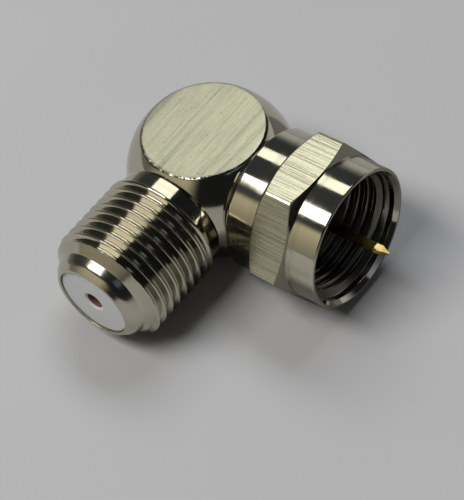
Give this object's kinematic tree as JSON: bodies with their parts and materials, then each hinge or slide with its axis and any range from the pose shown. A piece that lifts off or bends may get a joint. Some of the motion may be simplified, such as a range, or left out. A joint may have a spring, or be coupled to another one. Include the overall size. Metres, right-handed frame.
{
  "type": "right-angle coaxial adapter",
  "caption": "Right-angle coaxial adapter: threaded jack with white bead on one side, captive hexagonal coupling nut with centre pin on the other.",
  "frame": {"origin": "centre of the ball's lower flat, straight below the crossing of the two port axes", "axes": "+X along the plug, out of the coupling nut; -Y along the jack, out of its nose; +Z square to both ports, towards the upper flat"},
  "size_m": [0.0224, 0.0209, 0.0113],
  "materials": {
    "ball_nickel": "bright nickel plate on brass, with milled flats",
    "barrel_nickel": "bright nickel plate on brass",
    "nut_nickel": "bright nickel plate, hexagon flats satin from milling",
    "white_plastic": "smooth white moulded plastic",
    "contact_bronze": "dull bronze",
    "pin_gold": "bright gold-coloured plate"
  },
  "bodies": {
    "adapter": {"elbow_body": "ball_nickel", "jack_barrel": "barrel_nickel", "jack_front_bead": "white_plastic", "jack_rear_insulator": "white_plastic", "jack_contact": "contact_bronze", "plug_post": "barrel_nickel", "plug_insulator": "white_plastic", "centre_pin": "pin_gold"},
    "nut": {"coupling_nut": "nut_nickel"}
  },
  "joints": [
    {"name": "nut_spin", "type": "hinge", "parent": "adapter", "child": "nut", "pos_m": [0.00553, 0, 0.00455], "axis": [1, 0, 0], "continuous": true}
  ]
}
